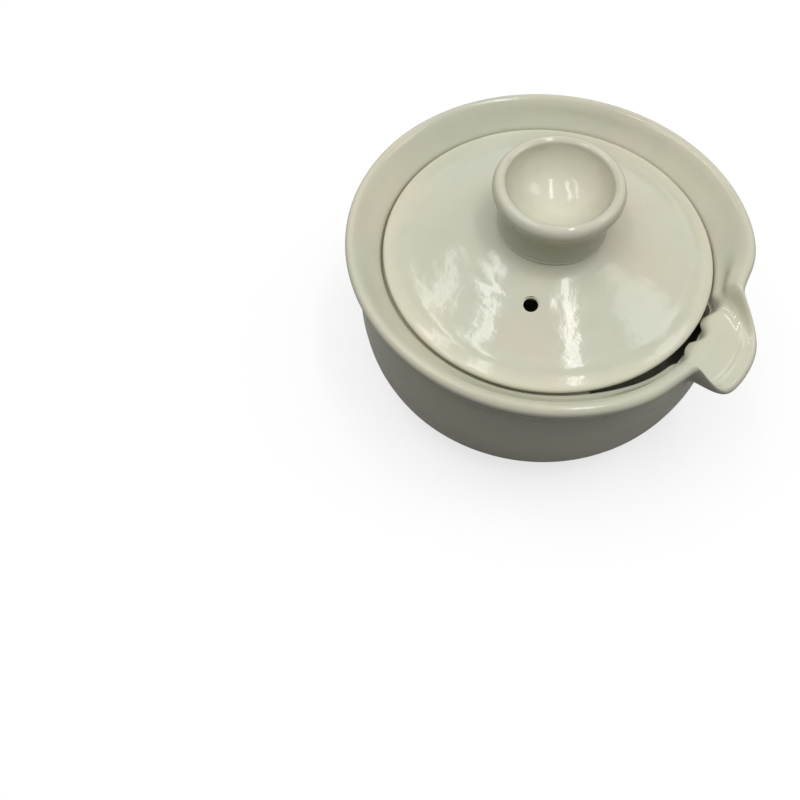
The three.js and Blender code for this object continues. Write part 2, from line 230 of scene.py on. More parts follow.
# Angle of each column, up to half a turn to each side. At 0 their spacing is the spread's share of even
share = add(wheel, "ShaderNodeMath", {0: column, 1: given["Columns"]}, operation="DIVIDE")[0]
share = add(wheel, "ShaderNodeMath", {0: share, 1: 2.0, 2: -1.0}, operation="MULTIPLY_ADD")[0]
cube = add(wheel, "ShaderNodeMath", {0: share, 1: share}, operation="MULTIPLY")[0]
cube = add(wheel, "ShaderNodeMath", {0: cube, 1: 1.5}, operation="POWER")[0]
rest = add(wheel, "ShaderNodeMath", {0: 1.0, 1: given["Column Spread"]}, operation="SUBTRACT")[0]
spread = add(wheel, "ShaderNodeMath", {0: rest, 1: cube, 2: given["Column Spread"]},
             operation="MULTIPLY_ADD")[0]
angle = add(wheel, "ShaderNodeMath", {0: share, 1: spread}, operation="MULTIPLY")[0]
angle = add(wheel, "ShaderNodeMath", {0: angle, 1: math.pi}, operation="MULTIPLY")[0]
across = add(wheel, "ShaderNodeMath", {0: angle}, operation="COSINE")[0]
aside = add(wheel, "ShaderNodeMath", {0: angle}, operation="SINE")[0]
away = add(wheel, "ShaderNodeCombineXYZ", {0: across, 1: aside})[0]
# Finger rings, pushed along the wall's outward direction
along = add(wheel, "ShaderNodeMath", {0: profile["run"], 1: given["Ring Pitch"]}, operation="DIVIDE")[0]
along = add(wheel, "ShaderNodeMath", {0: along, 1: given["Seed"]}, operation="ADD")[0]
along = add(wheel, "ShaderNodeCombineXYZ", {2: along})[0]
ring = add(wheel, "ShaderNodeVectorMath", {0: away, 1: (RING_WANDER, RING_WANDER, 0.0), 2: along},
           operation="MULTIPLY_ADD")[0]
ring = add(wheel, "ShaderNodeTexNoise", {"Vector": ring, "Scale": 1.0, "Detail": 1.5})[0]
ring = add(wheel, "ShaderNodeMath", {0: ring, 1: 2.0, 2: -1.0}, operation="MULTIPLY_ADD")[0]
ring = add(wheel, "ShaderNodeMath", {0: ring, 1: given["Ring Depth"]}, operation="MULTIPLY")[0]
ring = add(wheel, "ShaderNodeMath", {0: ring, 1: profile["marks"]}, operation="MULTIPLY")[0]
# Waver, in and out, more where the wall is wider
place = add(wheel, "ShaderNodeSeparateXYZ", {0: profile["position"]})
level = add(wheel, "ShaderNodeMath", {0: place[2], 1: 1 / (WAVER_REACH * MM), 2: given["Seed"]},
            operation="MULTIPLY_ADD")[0]
level = add(wheel, "ShaderNodeCombineXYZ", {2: level})[0]
waver = add(wheel, "ShaderNodeVectorMath", {0: away, 1: (WAVER_WANDER, WAVER_WANDER, 0.0), 2: level},
            operation="MULTIPLY_ADD")[0]
waver = add(wheel, "ShaderNodeTexNoise", {"Vector": waver, "Scale": 1.0, "Detail": 0.0})[0]
waver = add(wheel, "ShaderNodeMath", {0: waver, 1: 2.0, 2: -1.0}, operation="MULTIPLY_ADD")[0]
waver = add(wheel, "ShaderNodeMath", {0: waver, 1: given["Waver"]}, operation="MULTIPLY")[0]
width = add(wheel, "ShaderNodeMath", {0: place[0], 1: 1 / (WAVER_REACH * MM)}, operation="MULTIPLY")[0]
waver = add(wheel, "ShaderNodeMath", {0: waver, 1: width}, operation="MULTIPLY")[0]
# Place of each point, from its radius, its angle and its height
outward = add(wheel, "ShaderNodeSeparateXYZ", {0: profile["outward"]})
reach = add(wheel, "ShaderNodeMath", {0: outward[0], 1: ring, 2: place[0]}, operation="MULTIPLY_ADD")[0]
reach = add(wheel, "ShaderNodeMath", {0: reach, 1: waver}, operation="ADD")[0]
reach = add(wheel, "ShaderNodeCombineXYZ", {0: reach, 1: reach})[0]
height = add(wheel, "ShaderNodeMath", {0: outward[2], 1: ring, 2: place[2]}, operation="MULTIPLY_ADD")[0]
height = add(wheel, "ShaderNodeCombineXYZ", {2: height})[0]
spot = add(wheel, "ShaderNodeVectorMath", {0: away, 1: reach, 2: height}, operation="MULTIPLY_ADD")[0]
for label in ("inside", "bare"):
    pot = add(wheel, "GeometryNodeStoreNamedAttribute",
              {"Geometry": pot, "Name": label, "Value": profile[label]},
              data_type="FLOAT", domain="POINT")[0]
pot = add(wheel, "GeometryNodeSetPosition", {"Geometry": pot, "Position": spot})[0]
pot = add(wheel, "GeometryNodeMergeByDistance", {"Geometry": pot, "Distance": 5e-7})[0]
pot = add(wheel, "GeometryNodeSetShadeSmooth", {"Geometry": pot})[0]
pot = add(wheel, "GeometryNodeRealizeInstances", {"Geometry": pot})[0]
pot = add(wheel, "GeometryNodeSetMaterial", {"Geometry": pot, "Material": given["Clay"]})[0]
add(wheel, "NodeGroupOutput", {"Pot": pot})


def plain_mesh(piece):
    """Replaces a piece's mesh by what its modifiers make of it, and takes the modifiers off."""
    bpy.context.view_layer.update()
    depsgraph = bpy.context.evaluated_depsgraph_get()
    mesh = bpy.data.meshes.new_from_object(piece.evaluated_get(depsgraph), depsgraph=depsgraph)
    piece.modifiers.clear()
    piece.data = mesh
    mesh.name = piece.name


def throw(name, line, marks, bare, settings):
    """Throws one piece on the wheel and returns it as a plain mesh on its own axis. marks says how strong
    the finger rings are along its profile, and bare where the clay has no glaze."""
    slope = np.gradient(line, axis=0)
    slope /= np.hypot(*slope.T)[:, None]
    profile = bpy.data.meshes.new(name)
    profile.from_pydata(np.column_stack([line[:, 0], 0 * line[:, 0], line[:, 1]]) * MM,
                        [(i, i + 1) for i in range(len(line) - 1)], [])
    crest_row = line[:, 1].argmax()
    carried = {"run": np.r_[0, np.cumsum(np.hypot(*np.diff(line, axis=0).T))] * MM,
               "marks": marks, "bare": bare, "inside": (np.arange(len(line)) >= crest_row) * 1.0}
    for label, values in carried.items():
        shares = profile.attributes.new(label, "FLOAT", "POINT")
        shares.data.foreach_set("value", np.asarray(values, np.float32))
    facing = np.column_stack([slope[:, 1], 0 * line[:, 0], -slope[:, 0]]).astype(np.float32)
    profile.attributes.new("outward", "FLOAT_VECTOR", "POINT").data.foreach_set("vector", facing.ravel())
    piece = bpy.data.objects.new(name, profile)
    bpy.context.scene.collection.objects.link(piece)
    turning = piece.modifiers.new("Wheel", "NODES")
    turning.node_group = wheel
    for socket in wheel.interface.items_tree:
        if socket.name in settings:
            turning[socket.identifier] = settings[socket.name]
    plain_mesh(piece)
    return piece


def points_of(mesh):
    """A mesh's points in millimetres."""
    points = np.empty(len(mesh.vertices) * 3)
    mesh.vertices.foreach_get("co", points)
    return points.reshape(-1, 3) / MM


def set_points(mesh, points):
    """Puts points in millimetres back into a mesh."""
    mesh.vertices.foreach_set("co", (points * MM).ravel())
    mesh.update()


def facing_of(mesh):
    """The outward direction at each of a mesh's points."""
    facing = np.empty(len(mesh.vertices) * 3)
    mesh.vertex_normals.foreach_get("vector", facing)
    return facing.reshape(-1, 3)


def turned_tool(name, line, foot, way, clay, sides=64):
    """A closed round cutting tool from a line of radius and height, which stands at foot and points along
    way."""
    side = np.cross(way, (0.0, 0.0, 1.0))
    side /= np.linalg.norm(side)
    over = np.cross(way, side)
    turn = np.linspace(0, 2 * math.pi, sides, endpoint=False)
    points = [foot + way * z + r * (math.cos(t) * side + math.sin(t) * over) for r, z in line for t in turn]
    faces = [(i * sides + j, i * sides + (j + 1) % sides,
              (i + 1) * sides + (j + 1) % sides, (i + 1) * sides + j)
             for i in range(len(line) - 1) for j in range(sides)]
    faces += [tuple(range(sides))[::-1], tuple(range((len(line) - 1) * sides, len(line) * sides))]
    mesh = bpy.data.meshes.new(name)
    mesh.from_pydata(np.array(points) * MM, [], faces)
    mesh.materials.append(clay)
    tool = bpy.data.objects.new(name, mesh)
    bpy.context.scene.collection.objects.link(tool)
    return tool


def cut_with(piece, tools, sharp_from=40):
    """Takes the shape of each tool out of a piece, which stays a plain mesh, and puts the tools away. Edges
    that turn by more than sharp_from stay crisp, as a cut leaves them."""
    for tool in tools:
        pierce = piece.modifiers.new(tool.name, "BOOLEAN")
        pierce.operation, pierce.object, pierce.solver = "DIFFERENCE", tool, "EXACT"
    plain_mesh(piece)
    piece.data.polygons.foreach_set("use_smooth", [True] * len(piece.data.polygons))
    piece.data.set_sharp_from_angle(angle=math.radians(sharp_from))
    for tool in tools:
        bpy.data.objects.remove(tool)


def eased(value, start, end):
    """A share from 0 at start to 1 at end, eased at both."""
    share = np.clip((value - start) / (end - start), 0, 1)
    return share * share * (3 - 2 * share)


def paint(code):
    """A colour written in sRGB hex, as the linear colour that the shader needs."""
    shades = [int(code[i:i + 2], 16) / 255 for i in (1, 3, 5)]
    return [s / 12.92 if s <= 0.04045 else ((s + 0.055) / 1.055) ** 2.4 for s in shades] + [1.0]


# The glaze and the clay under it, with the sizes of their patterns
DUN_DRIFT = "#A9A78F"
THIN_GLAZE = "#D0CBB6"
IRON_SPECK = "#8C7F66"
CLAY_LIGHT = "#D9D2BF"
CLAY_DARK = "#BFB49B"
THIN_STRENGTH = 0.5
THIN_WANDER = 2.4  # how far the border of the thin glaze wanders
THIN_WANDER_SIZE = 9.0
THIN_RISE = 2.0  # height over which it sets in
SPECK_SPACING = 9.0
SPECK_CORE = 0.162
SPECK_RADIUS = 0.36
SPECK_STRENGTH = 0.6
WIPE_SIZE = 3.0  # of the wanderings of the wiped border
WIPE_WANDER = 0.6  # and how far they go, as a share
GRAIN_SIZE = 0.6
GRAIN_HEIGHT = 0.25
CLAY_ROUGHNESS = 0.78
GLAZE_ROUGHNESS = (0.09, 0.16)
GLAZE_ROUGHNESS_SIZE = 16.0
GLAZE_IOR = 1.5
SWELL_SIZE = 3.0
SWELL_HEIGHT = 0.085


def ivory_glaze(name, warm, cool, blush, thin_from, thin_to, thin_height):
    """Clear ivory gloss glaze, melted thick over pale stoneware. To the eye it is a soft grey cream that
    drifts between warm and cool over a few centimetres, creamier where it runs thin over an edge, with a
    few iron specks from the clay. Where the kiln shelf or the ledge would stick to it, the clay is left
    bare, matt and sandy."""
    material = bpy.data.materials.new(name)
    material.use_nodes = True
    tree = material.node_tree
    tree.nodes.clear()
    where = add(tree, "ShaderNodeTexCoord")["Object"]
    where = add(tree, "ShaderNodeMapping", {"Vector": where, "Location": (-AXIS_X * MM, 0, 0)})[0]
    # Drifts of the glaze's colour: size in millimetres, detail, seed, limits, strength, colour
    colour = paint(warm)
    for size, detail, seed, low, high, most, code in ((38, 2.0, 0.0, 0.38, 0.62, 1.0, cool),
                                                      (24, 3.0, 4.0, 0.50, 0.70, 0.6, blush),
                                                      (7, 2.0, 8.0, 0.45, 0.75, 0.12, DUN_DRIFT)):
        drift = add(tree, "ShaderNodeTexNoise", {"Vector": where, "W": seed, "Scale": 1 / (size * MM),
                                                 "Detail": detail}, noise_dimensions="4D")[0]
        drift = add(tree, "ShaderNodeMapRange", {"Value": drift, "From Min": low, "From Max": high,
                                                 "To Max": most}, interpolation_type="SMOOTHSTEP")[0]
        colour = add(tree, "ShaderNodeMix", {0: drift, 6: colour, 7: paint(code)}, data_type="RGBA")[2]
    # Thin glaze over the edge, with a ragged border
    flat = add(tree, "ShaderNodeVectorMath", {0: where, 1: (1.0, 1.0, 0.0)}, operation="MULTIPLY")[0]
    radius = add(tree, "ShaderNodeVectorMath", {0: flat}, operation="LENGTH")["Value"]
    high = add(tree, "ShaderNodeSeparateXYZ", {0: where})[2]
    ragged = add(tree, "ShaderNodeTexNoise", {"Vector": where, "Scale": 1 / (THIN_WANDER_SIZE * MM),
                                              "Detail": 2.0})[0]
    edge = add(tree, "ShaderNodeMath", {0: ragged, 1: THIN_WANDER * MM, 2: radius},
               operation="MULTIPLY_ADD")[0]
    edge = add(tree, "ShaderNodeMapRange", {"Value": edge, "From Min": (thin_from + THIN_WANDER / 2) * MM,
                                            "From Max": (thin_to + THIN_WANDER / 2) * MM,
                                            "To Max": THIN_STRENGTH}, interpolation_type="SMOOTHSTEP")[0]
    above = add(tree, "ShaderNodeMapRange", {"Value": high, "From Min": (thin_height - THIN_RISE) * MM,
                                             "From Max": thin_height * MM},
                interpolation_type="SMOOTHSTEP")[0]
    edge = add(tree, "ShaderNodeMath", {0: edge, 1: above}, operation="MULTIPLY")[0]
    colour = add(tree, "ShaderNodeMix", {0: edge, 6: colour, 7: paint(THIN_GLAZE)}, data_type="RGBA")[2]
    # Iron specks, in a few cells only
    cell = add(tree, "ShaderNodeTexVoronoi", {"Vector": where, "Scale": 1 / (SPECK_SPACING * MM),
                                              "Randomness": 1.0})
    chosen = add(tree, "ShaderNodeSeparateColor", {0: cell["Color"]})[0]
    chosen = add(tree, "ShaderNodeMapRange", {"Value": chosen, "From Min": 0.80, "From Max": 0.90,
                                              "To Max": SPECK_STRENGTH})[0]
    speck = add(tree, "ShaderNodeMapRange", {"Value": cell["Distance"], "To Min": 1.0, "To Max": 0.0,
                                             "From Min": SPECK_CORE / SPECK_SPACING,
                                             "From Max": SPECK_RADIUS / SPECK_SPACING},
                interpolation_type="SMOOTHSTEP")[0]
    speck = add(tree, "ShaderNodeMath", {0: speck, 1: chosen}, operation="MULTIPLY")[0]
    colour = add(tree, "ShaderNodeMix", {0: speck, 6: colour, 7: paint(IRON_SPECK)}, data_type="RGBA")[2]
    # Bare clay where the piece is wiped, with a ragged border and grains about half a millimetre wide
    wiped = add(tree, "ShaderNodeTexNoise", {"Vector": where, "Scale": 1 / (WIPE_SIZE * MM),
                                             "Detail": 2.0})[0]
    bare = add(tree, "ShaderNodeAttribute", attribute_name="bare")["Fac"]
    wiped = add(tree, "ShaderNodeMath", {0: wiped, 1: WIPE_WANDER, 2: bare}, operation="MULTIPLY_ADD")[0]
    wiped = add(tree, "ShaderNodeMapRange", {"Value": wiped, "From Min": 0.75, "From Max": 0.85},
                interpolation_type="SMOOTHSTEP")[0]
    grit = add(tree, "ShaderNodeTexNoise", {"Vector": where, "Scale": 1 / (GRAIN_SIZE * MM),
                                            "Detail": 4.0})[0]
    grain = add(tree, "ShaderNodeMapRange", {"Value": grit, "From Min": 0.35, "From Max": 0.65})[0]
    body = add(tree, "ShaderNodeMix", {0: grain, 6: paint(CLAY_LIGHT), 7: paint(CLAY_DARK)},
               data_type="RGBA")[2]
    colour = add(tree, "ShaderNodeMix", {0: wiped, 6: colour, 7: body}, data_type="RGBA")[2]
    # Gloss that varies a little where the glaze settled, and the matt clay
    gloss = add(tree, "ShaderNodeTexNoise", {"Vector": where, "W": 2.0, "Detail": 3.0,
                                             "Scale": 1 / (GLAZE_ROUGHNESS_SIZE * MM)},
                noise_dimensions="4D")[0]
    gloss = add(tree, "ShaderNodeMapRange", {"Value": gloss, "From Min": 0.3, "From Max": 0.7,
                                             "To Min": GLAZE_ROUGHNESS[0], "To Max": GLAZE_ROUGHNESS[1]})[0]
    gloss = add(tree, "ShaderNodeMix", {0: wiped, 2: gloss, 3: CLAY_ROUGHNESS}, data_type="FLOAT")[0]
    # Relief: the glaze swells softly, and the bare clay is sandy
    swell = add(tree, "ShaderNodeTexNoise", {"Vector": where, "W": 6.0, "Scale": 1 / (SWELL_SIZE * MM),
                                             "Detail": 4.0}, noise_dimensions="4D")[0]
    swell = add(tree, "ShaderNodeMath", {0: swell, 1: SWELL_HEIGHT}, operation="MULTIPLY")[0]
    sand = add(tree, "ShaderNodeMath", {0: grit, 1: wiped}, operation="MULTIPLY")[0]
    relief = add(tree, "ShaderNodeMath", {0: sand, 1: GRAIN_HEIGHT, 2: swell}, operation="MULTIPLY_ADD")[0]
    bump = add(tree, "ShaderNodeBump", {"Strength": 1.0, "Distance": MM, "Height": relief})[0]
    shader = add(tree, "ShaderNodeBsdfPrincipled", {"Base Color": colour, "Roughness": gloss,
                                                    "IOR": GLAZE_IOR, "Normal": bump})[0]
    add(tree, "ShaderNodeOutputMaterial", {"Surface": shader})
    return material


# The bowl is thrown with finger rings on its wall, fainter towards the rim and none on the foot or the
# ledge. Its clay is bare up to the top of the foot.
RINGS_GROW = (5, 9)
RINGS_FADE = (34, 37)
RINGS_FADED = 0.6
LEDGE_PLAIN = (30, 37.5)
LEDGE_PLAIN_RADIUS = 41.5
GLAZE_LINE = (2.3, 3.3)
bowl_glaze = ivory_glaze("ivory gloss glaze on the bowl", "#C6C3AD", "#BDBEAB", "#C8BDA9",
                         thin_from=45.5, thin_to=48.0, thin_height=41)
bowl_wide, bowl_high = bowl_line.T
on_ledge = (bowl_high > LEDGE_PLAIN[0]) & (bowl_high < LEDGE_PLAIN[1]) & (bowl_wide < LEDGE_PLAIN_RADIUS)
bowl_rings = eased(bowl_high, *RINGS_GROW) * (1 - RINGS_FADED * eased(bowl_high, *RINGS_FADE))
bowl = throw("Bowl", bowl_line, bowl_rings * (1 - on_ledge), 1 - eased(bowl_high, *GLAZE_LINE),
             {"Clay": bowl_glaze, "Columns": 480, "Column Spread": 0.4, "Ring Depth": 0.22 * MM,
              "Ring Pitch": 5.0 * MM, "Waver": 0.25 * MM, "Seed": 3.7})

# The rim is squeezed a little along one direction, and the wall round the seat is eased out by one pinch.
clay_points = points_of(bowl.data)
inside = np.empty(len(clay_points), np.float32)
bowl.data.attributes["inside"].data.foreach_get("value", inside)
inside = inside > 0.5
narrow_turn = math.radians(RIM_NARROWING_ANGLE)
narrow_way = np.array([math.cos(narrow_turn), math.sin(narrow_turn), 0])
share = RIM_NARROWING * eased(clay_points[:, 2], LID_TOP_Z, BOWL_HEIGHT)
clay_points -= (share * (clay_points @ narrow_way))[:, None] * narrow_way
x, y, z = clay_points.T
radius = np.maximum(np.hypot(x, y), 1)
turn = (np.degrees(np.arctan2(y, x)) - SEAT_EASE_ANGLE) / SEAT_EASE_WIDTH
share = SEAT_EASE * inside * np.exp(-turn ** 2)
share *= eased(z, belly_top, SEAT_Z) - eased(z, LID_TOP_Z, BOWL_HEIGHT)
share *= eased(radius, ledge_radius + SEAT_EASE_INSET, SEAT_RADIUS)
clay_points[:, :2] *= (1 + share / radius)[:, None]

# The pouring lip is pulled out, down and wider between the two pinches.
x, y, z = clay_points.T
off = np.abs(y)
grip = eased(z, np.where(inside, SEAT_Z, SEAT_Z - LIP_ROOT), RIM_Z) * (x > 0)
squeeze = np.where(inside, eased(z, LID_TOP_Z, RIM_Z), grip) * (x > 0)
pull = np.exp(-(off / LIP_HALF_WIDTH) ** np.where(y > 0, LIP_FAR_SHAPE, LIP_NEAR_SHAPE))
pinch_width = np.where(off < PINCH_OFFSET, PINCH_INNER_WIDTH, PINCH_OUTER_WIDTH)
pinch = np.exp(-((off - PINCH_OFFSET) / pinch_width) ** 2)
reach = LIP_PULL - LIP_LEAN * (y / LIP_HALF_WIDTH) - LIP_BOW * (off / LIP_HALF_WIDTH) ** 2
fill = eased(z, SEAT_Z + LIP_FILL_GROWS[0], SEAT_Z + LIP_FILL_GROWS[1])
fill = LIP_FILL * (fill - eased(z, RIM_Z - LIP_FILL_FADES, BOWL_HEIGHT)) * inside * (x > 0)
depth = np.where(y > 0, PINCH_FAR_DEPTH, PINCH_NEAR_DEPTH)
clay_points = np.column_stack([x + grip * reach * pull - squeeze * depth * pinch,
                               y * (1 + grip * LIP_FLARE * np.sqrt(pull)),
                               z - grip * LIP_DROP * pull + fill * pull])
set_points(bowl.data, clay_points)

# Each groove is drawn with a round tool down through the ledge from the lip. Its mouth stays soft, as glaze
# leaves it: every point near it sinks until it meets the tool's rounded path. Then the tool goes through.
GROOVE_ANGLES = (-9.5, 2.0, 13.5)  # from the pouring lip
GROOVE_RADIUS = 2.3
GROOVE_TILT = 78  # by which each runs down inwards
GROOVE_LIFT = 3.3  # of its axis over the seat's outer corner
GROOVE_LENGTH = 12.0
GROOVE_SOFTNESS = 1.3
GROOVE_TOOL_RADIUS = GROOVE_RADIUS - 0.15
GROOVE_TOOL_END = 84  # degrees of its round end, which leave a small flat on its tip
NEAR_LOW, NEAR_HIGH = (-6, -5, -7), (5, 5, 4)  # box round a groove's end that holds every point near it
LEAST_FACING = 0.2  # a point sinks only where the surface faces the tool by more than this share
LEAST_LEAN = 0.3  # and one that hardly faces it is softened as if it faced it this much
SINK_STEP = 0.03
SINK_MOST = 7.0
LEDGE_LEFT = 0.5  # a point stays this far over the ledge's underside
clay_facing = facing_of(bowl.data)
deepest = np.zeros_like(clay_points)
tilt = math.radians(GROOVE_TILT)
along = np.array([math.cos(tilt), 0, math.sin(tilt)])
down = np.array([math.sin(tilt), 0, -math.cos(tilt)])
groove_line = np.vstack([[[GROOVE_TOOL_RADIUS, -GROOVE_LENGTH]],
                         arc((0, 0), GROOVE_TOOL_RADIUS, 0, GROOVE_TOOL_END, 12)])
tools = []
for groove_angle in GROOVE_ANGLES:
    turn = math.radians(groove_angle)
    spin = np.array([[math.cos(turn), math.sin(turn), 0], [-math.sin(turn), math.cos(turn), 0], [0, 0, 1]])
    start = np.array([SEAT_RADIUS, 0, SEAT_Z + GROOVE_LIFT])
    place = clay_points @ spin.T - start
    face = clay_facing @ spin.T
    in_box = np.all((place > NEAR_LOW) & (place < NEAR_HIGH), axis=1)
    near = np.flatnonzero(in_box & (face @ down < -LEAST_FACING))
    place, lean = place[near], np.clip(-(face[near] @ down), LEAST_LEAN, 1)
    depth = np.zeros(len(near))
    still_open = np.ones(len(near), bool)
    for sunk in np.arange(0, SINK_MOST, SINK_STEP):
        probe = place + down * sunk
        run = np.clip(probe @ along, -GROOVE_LENGTH, 0)
        gap = np.linalg.norm(probe - run[:, None] * along, axis=1) - GROOVE_RADIUS
        blend = GROOVE_SOFTNESS / 4 * np.clip(1 - np.abs(gap - sunk * lean) / GROOVE_SOFTNESS, 0, 1) ** 2
        still_open &= np.maximum(-sunk * lean, -gap) + blend > 0
        depth[still_open] = sunk + SINK_STEP
    room = (clay_points[near, 2] - belly_top - LEDGE_LEFT) / -down[2]
    depth = np.minimum(depth, np.clip(room, 0, None))
    deeper = depth > np.linalg.norm(deepest[near], axis=1)
    deepest[near[deeper]] = ((down * depth[:, None]) @ spin)[deeper]
    tools.append(turned_tool(f"Groove tool {groove_angle}", groove_line, start @ spin + [AXIS_X, 0, 0],
                             along @ spin, bowl_glaze))
set_points(bowl.data, clay_points + deepest + [AXIS_X, 0, 0])

# The ledge is cut away under the grooves and on past the near pinch.
LEDGE_GAP_START = -42  # from the pouring lip; the gap ends in the farthest groove
KNIFE_OVERLAP = 1.0  # past the ledge's inner edge
KNIFE_OVER_SEAT = 0.3
turn = np.radians(np.linspace(LEDGE_GAP_START, GROOVE_ANGLES[-1], 73))
outline = [(r * math.cos(a), r * math.sin(a))
           for r, sweep in ((SEAT_RADIUS + SEAT_EASE, turn), (ledge_radius - KNIFE_OVERLAP, turn[::-1]))
           for a in sweep]
count = len(outline)
knife_mesh = bpy.data.meshes.new("Ledge knife")
knife_mesh.from_pydata([((x + AXIS_X) * MM, y * MM, z * MM)
                        for z in (inside_top, SEAT_Z + KNIFE_OVER_SEAT) for x, y in outline], [],
                       [tuple(range(count))[::-1], tuple(range(count, 2 * count))]
                       + [(i, (i + 1) % count, count + (i + 1) % count, count + i) for i in range(count)])
knife_mesh.materials.append(bowl_glaze)
knife = bpy.data.objects.new("Ledge knife", knife_mesh)
bpy.context.scene.collection.objects.link(knife)
cut_with(bowl, tools + [knife])
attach(bowl, "bowl")
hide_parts("bowl")

# Lid
# The lid is thrown upside down as a shallow saucer and turned over. It has a rounded, undercut edge, a flat
# bare ring underneath that lies on the ledge, and one vent hole pushed through beside the knob.
LID_CLEARANCE = 0.3  # round the lid's edge
LID_EDGE_ROUNDING = 1.0
LID_EDGE_START = -45  # degrees from level at which the edge's rounding leaves the undercut
LID_SHOULDER = 60  # and at which it runs into the dome
LID_UNDERCUT = 1.7
LID_RISE = 9.2  # from the top of the edge to the knob's landing
LID_DOME = 1.2  # 1 is a plain cone, more gives a rounder shoulder
LID_THICKNESS = 4.0
LID_REST_WIDTH = 3.0  # of the flat ring
LID_REST_CHAMFER = 0.6
LID_RIDGE = 0.07  # height of the low ridge that the turning tool left near the edge
LID_RIDGE_RADIUS = 34.6
LID_RIDGE_WIDTH = 1.4
KNOB_BASE_RADIUS = 12.5
LANDING_MARGIN = 0.7  # flat left round the knob's base
LID_RADIUS = SEAT_RADIUS - LID_CLEARANCE
LANDING_RADIUS = KNOB_BASE_RADIUS + LANDING_MARGIN
LANDING_Z = LID_TOP_Z + LID_RISE

shoulder = (LID_RADIUS - LID_EDGE_ROUNDING * (1 - math.cos(math.radians(LID_SHOULDER))),
            LID_TOP_Z - LID_EDGE_ROUNDING * (1 - math.sin(math.radians(LID_SHOULDER))))
rest_inside = LID_RADIUS - LID_UNDERCUT - LID_REST_WIDTH


def dome(radius):
    """Height of the lid's top at a distance from its axis."""
    share = np.clip((radius - LANDING_RADIUS) / (shoulder[0] - LANDING_RADIUS), 0, 1)
    return LANDING_Z - (LANDING_Z - shoulder[1]) * share ** LID_DOME


def lid_spacing(radius, z):
    """Rows of the lid lie closest at its edge, then round the knob and the vent."""
    return np.where(radius > 33, 0.3, np.where(z > 42.5, 0.42, 0.9))


under_radius = np.linspace(LANDING_RADIUS - LID_THICKNESS, rest_inside - LID_REST_CHAMFER, 60)
over_radius = np.linspace(shoulder[0], LANDING_RADIUS, 80)
ridge = LID_RIDGE * np.exp(-((over_radius - LID_RIDGE_RADIUS) / LID_RIDGE_WIDTH) ** 2)
lid_line = glazed_line([
    np.array([[0, LANDING_Z - LID_THICKNESS]]),
    np.column_stack([under_radius, dome(under_radius) - LID_THICKNESS]),
    np.array([[rest_inside, LID_Z], [LID_RADIUS - LID_UNDERCUT, LID_Z]]),
    arc((LID_RADIUS - LID_EDGE_ROUNDING, LID_TOP_Z - LID_EDGE_ROUNDING), LID_EDGE_ROUNDING,
        LID_EDGE_START, LID_SHOULDER),
    np.column_stack([over_radius, dome(over_radius) + ridge])[1:],
    np.array([[0, LANDING_Z]]),
], 0.3, lid_spacing)

# Finger rings lie on the dome only, and are fainter on its shoulder. The ring underneath is bare.
LID_RINGS_GROW = (14.5, 17)
LID_RINGS_FADE = (37.5, 39)
LID_RINGS_FADED = 0.8
LID_BARE_HEIGHT = 0.4
lid_glaze = ivory_glaze("ivory gloss glaze on the lid", "#C9C6B1", "#C1C3B0", "#CCC1AE",
                        thin_from=34.5, thin_to=38.5, thin_height=38)
lid_wide, lid_high = lid_line.T
lid_top = np.arange(len(lid_line)) > lid_wide.argmax()
lid_rings = lid_top * eased(lid_wide, *LID_RINGS_GROW)
lid_rings = lid_rings * (1 - LID_RINGS_FADED * eased(lid_wide, *LID_RINGS_FADE))
lid = throw("Lid", lid_line, lid_rings, lid_high < LID_Z + LID_BARE_HEIGHT,
            {"Clay": lid_glaze, "Columns": 320, "Column Spread": 1.0, "Ring Depth": 0.12 * MM,
             "Ring Pitch": 3.8 * MM, "Waver": 0.08 * MM, "Seed": 11.3})

# The vent is pushed up from inside, leaning out with the dome, with a tool that tapers to its tip. Its
# mouth is rounded by the glaze, which stands unevenly in a low ring round it.
VENT_RADIUS = 1.6
VENT_OFFSET = 22.1  # from the lid's axis
VENT_ANGLE = -68  # from the pouring lip
VENT_TILT = 12  # from upright
VENT_ROUNDING = 0.35
VENT_TAPER = 18
VENT_SUNK = 0.1  # of the mouth under the dome
VENT_TOOL_BELOW, VENT_TOOL_ABOVE = 8, 3  # how far the tool reaches to both sides of the mouth
VENT_RING_HEIGHT = 0.05
VENT_RING_UNEVEN = 0.8
VENT_RING_RADIUS = 3.3
VENT_RING_WIDTH = 1.5
VENT_DIP = 0.12
VENT_DIP_RADIUS = 2.4
LEAST_UP = 0.3  # only a surface that faces up by more than this share is the lid's top
vent_turn = math.radians(VENT_ANGLE)
vent_lean = math.radians(VENT_TILT)
vent_foot = np.array([VENT_OFFSET * math.cos(vent_turn), VENT_OFFSET * math.sin(vent_turn),
                      float(dome(np.array([VENT_OFFSET]))[0]) - VENT_SUNK])
vent_way = np.array([math.sin(vent_lean) * math.cos(vent_turn), math.sin(vent_lean) * math.sin(vent_turn),
                     math.cos(vent_lean)])
lid_points = points_of(lid.data)
from_vent = np.linalg.norm(np.cross(lid_points - vent_foot, vent_way), axis=1)
round_vent = np.arctan2(lid_points[:, 1] - vent_foot[1], lid_points[:, 0] - vent_foot[0])
swelling = VENT_RING_HEIGHT * (1 + VENT_RING_UNEVEN * np.sin(2 * round_vent + 0.6) * np.sin(round_vent + 1))
swelling *= np.exp(-((from_vent - VENT_RING_RADIUS) / VENT_RING_WIDTH) ** 2)
swelling -= VENT_DIP * np.exp(-(from_vent / VENT_DIP_RADIUS) ** 2)
lid_points += vent_way * (swelling * (facing_of(lid.data)[:, 2] > LEAST_UP))[:, None]
set_points(lid.data, lid_points + [AXIS_X, 0, 0])
vent_widening = (VENT_TOOL_BELOW - VENT_ROUNDING) * math.tan(math.radians(VENT_TAPER))
